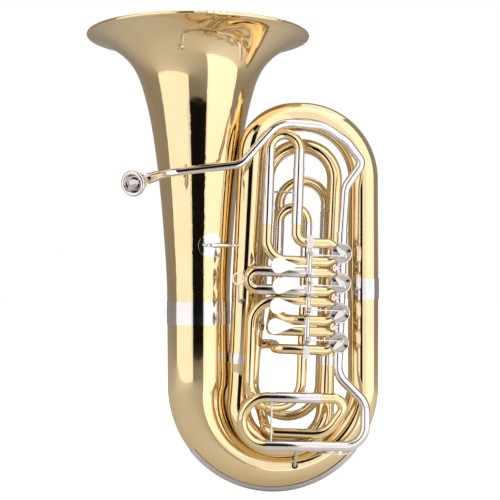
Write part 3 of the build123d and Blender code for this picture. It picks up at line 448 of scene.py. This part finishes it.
# %% Turn the sleeves
# The heights where each sleeve starts and ends, above the middle of the rod
sleeve_spans_mm = [(47.9, 82.8), (9.7, 34.1), (-28.5, -4.1), (-84.1, -42.3)]
bore_r, groove_r, sleeve_r = 4.02, 4.9, 5.5
groove_half, groove_slope, end_bevel = 0.4, 0.2, 0.5
for n, (low_h, high_h) in enumerate(sleeve_spans_mm, start=1):
    length = high_h - low_h
    outline = [(0, bore_r), (0, groove_r), (end_bevel, sleeve_r)]
    for groove in (2.2, length / 2, length - 2.2):
        outline += [(groove - groove_half - groove_slope, sleeve_r), (groove - groove_half, groove_r),
                    (groove + groove_half, groove_r), (groove + groove_half + groove_slope, sleeve_r)]
    outline += [(length - end_bevel, sleeve_r), (length, groove_r), (length, bore_r), (0, bore_r)]
    turned(f"lever_sleeve_{n}", outline, hinge_middle + row_up * low_h * MM, row_up, f"lever_body_{n}",
           nickel_silver, around=48)

# %% Turn the knobs
knob_height_mm = 113.5
knob_outline = [(0, 0), (0, 2.4), (0.6, 3.2), (2.0, 3.6), (3.4, 3.1), (4.2, 1.8), (4.5, 0)]
for name, side in (("rod_knob_top", 1), ("rod_knob_foot", -1)):
    rod_end = hinge_middle + row_up * side * knob_height_mm * MM
    turned(name, knob_outline, rod_end, row_up * side, "instrument", nickel_silver,
           around=32)

# %% [markdown]
# ## Link joints
# Where a link meets its lever the real horn has a ball joint locked by a small nut, so the link can
# tilt as the lever swings. A six-sided nut is set on each link's thick end and rides on it, and a
# domed screw holds the other end on its crank.

# %% Lock nuts and crank screws
# The link's height is the crank pin's: crank_mm right of the valve's middle and the same above or below
lever_eye_a, link_d = -56.1, -44.0
nut_from_eye_mm = 16.2
crank_mm = 5.09
crank_end_mm = 4.6
nut_outline = [(0, 1.0), (0, 3.0), (0.3, 3.3), (2.3, 3.3), (2.6, 3.0), (2.6, 1.0), (0, 1.0)]
dome_outline = [(0, 0), (0, 2.5), (0.5, 2.6), (1.1, 2.3), (1.5, 1.5), (1.7, 0)]
for n, swing in ((1, 1), (2, 1), (3, -1), (4, -1)):
    link_h = -swing * crank_mm
    turned(f"link_lock_nut_{n}", nut_outline, in_row(n, lever_eye_a + nut_from_eye_mm, link_d, link_h),
           row_right, f"link_body_{n}", nickel_silver, around=6)
    turned(f"crank_screw_{n}", dome_outline, in_row(n, crank_mm, link_d - crank_end_mm, link_h),
           -row_back, f"rotor_body_{n}", nickel_silver, around=28)
print("lock nuts and crank screws:", 8)

# %% [markdown]
# ## Studio
# Polished metal shows the room, not its own colour, so the room is the lighting. A tall white card
# stands on each side, and a black cloth hangs behind the camera, in the gap between them: that gap
# is the dark line down the middle of each tube. The cards light the horn without being seen, and
# the floor is pale.

# %% A glowing card that the camera doesn't see
def area_card(name, place, turn, width, height, glow):
    """A flat lamp. Its power follows from its size, so glow is the same brightness at any size."""
    light = bpy.data.lights.new(name, "AREA")
    light.shape = "RECTANGLE"
    light.size = width
    light.size_y = height
    light.energy = glow * math.pi * width * height
    lamp = bpy.data.objects.new(name, light)
    lamp.location = place
    lamp.rotation_euler = turn
    lamp.visible_camera = False
    bpy.context.scene.collection.objects.link(lamp)


def upright_card(name, inner, outer, low, high, glow):
    """A card that stands between two places on the plan and faces the horn."""
    inner, outer = Vector((*inner, 0)), Vector((*outer, 0))
    across = (outer - inner).normalized()
    facing = Vector((-across.y, across.x, 0))
    if facing.dot(-inner) < 0:
        facing = -facing
    place = (inner + outer) / 2 + Vector((0, 0, (low + high) / 2))
    turn = facing.to_track_quat("-Z", "Y").to_euler()
    area_card(name, place, turn, (outer - inner).length, high - low, glow)


# %% Paint and sheets
def plain_paint(name, colour, roughness, glow=0.0):
    """A matt paint. Its glow is for the camera alone, so it whitens the picture but lights nothing."""
    paint = bpy.data.materials.new(name)
    paint.use_nodes = True
    tree = paint.node_tree
    shader = tree.nodes["Principled BSDF"]
    shader.inputs["Base Color"].default_value = linear(colour)
    shader.inputs["Roughness"].default_value = roughness
    shader.inputs["Emission Color"].default_value = linear(colour)
    ray = add_node(tree, "ShaderNodeLightPath")
    lift = add_node(tree, "ShaderNodeMapRange", [(ray.outputs["Is Camera Ray"], "Value")], To_Max=glow)
    tree.links.new(lift.outputs["Result"], shader.inputs["Emission Strength"])
    return paint


def sheet(name, corners, material, seen=True):
    mesh = bpy.data.meshes.new(name)
    mesh.from_pydata(corners, [], [tuple(range(len(corners)))])
    mesh.materials.append(material)
    piece = bpy.data.objects.new(name, mesh)
    piece.visible_camera = seen
    bpy.context.scene.collection.objects.link(piece)


# %% Set out the floor, the cloth and the cards
floor_z = cad_box[0][2] - 0.5 * MM
half = 8.0
sheet("floor", [(x, y, floor_z) for x, y in ((-half, -half), (half, -half), (half, half), (-half, half))],
      plain_paint("studio_floor_paint", "#F6F6F6", 0.9, glow=1.1))
cloth_y, cloth_left, cloth_right, cloth_top = -2.3, -1.1, 0.9, 2.6
sheet("cloth_behind_camera", [(cloth_left, cloth_y, 0.0), (cloth_right, cloth_y, 0.0),
                              (cloth_right, cloth_y, cloth_top), (cloth_left, cloth_y, cloth_top)],
      plain_paint("black_cloth", "#0B0A0A", 1.0), seen=False)
upright_card("left_card", (-0.64, -1.60), (-2.40, -0.30), -0.4, 2.4, 0.92)
upright_card("right_card", (0.07, -0.60), (1.55, -0.20), -0.4, 2.2, 1.05)
area_card("top_card", (0.0, 0.1, 2.5), (0.0, 0.0, 0.0), 3.0, 2.0, 0.9)

# %% [markdown]
# ## World
# The air around the set is white to the camera, like a paper backdrop, and a soft grey to every
# other ray, so the metal's edges stay darker than the paper behind them.

# %% World
world = bpy.data.worlds.new("studio")
bpy.context.scene.world = world
world.use_nodes = True
sky = world.node_tree
back = sky.nodes["Background"]
back.inputs["Strength"].default_value = 1.0
rays = add_node(sky, "ShaderNodeLightPath")
shade = add_node(sky, "ShaderNodeMix", [(rays.outputs["Is Camera Ray"], 0)], data_type="RGBA")
shade.inputs[6].default_value = linear("#98928B")
shade.inputs[7].default_value = linear("#FFFFFF")
sky.links.new(shade.outputs[2], back.inputs["Color"])
bpy.context.scene.view_settings.view_transform = "Standard"

# %% [markdown]
# ## Camera
# The camera looks level along the depth of the horn, from a little over two metres, with a lens
# that frames a metre of width at that distance.

# %% Camera
camera_place = Vector((-0.046, -2.038, 0.482))
framed_width = 1.0
lens = bpy.data.cameras.new("camera")
lens.sensor_width = 36.0
lens.lens = lens.sensor_width * abs(camera_place.y) / framed_width
camera = bpy.data.objects.new("camera", lens)
camera.location = camera_place
camera.rotation_euler = (math.radians(90), 0, 0)
bpy.context.scene.collection.objects.link(camera)
bpy.context.scene.camera = camera
